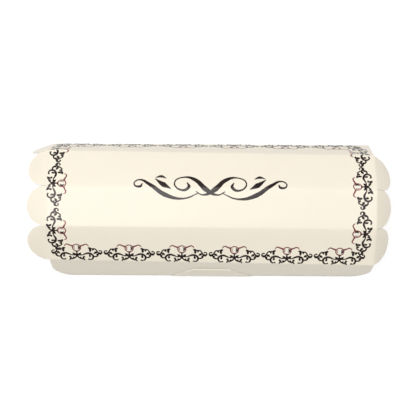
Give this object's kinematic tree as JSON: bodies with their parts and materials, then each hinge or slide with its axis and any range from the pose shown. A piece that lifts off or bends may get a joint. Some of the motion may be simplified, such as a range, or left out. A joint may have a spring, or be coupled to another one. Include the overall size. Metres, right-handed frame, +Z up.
{
  "type": "sweets box",
  "caption": "Empty hexagonal sweets box folded from cream board, with rounded petals at its open ends, a locked front flap and a printed scroll border.",
  "frame": {"origin": "middle of the box's bounding box in plan, on the outer face of its base", "axes": "+X along the sleeve, +Y towards the back panel (the front flap faces -Y), +Z up from the base"},
  "size_m": [0.2246, 0.0856, 0.036],
  "materials": {
    "printed_board": "satin coated board with a dark glossy scroll print"
  },
  "bodies": {
    "root": {"carton": "printed_board"}
  },
  "joints": []
}
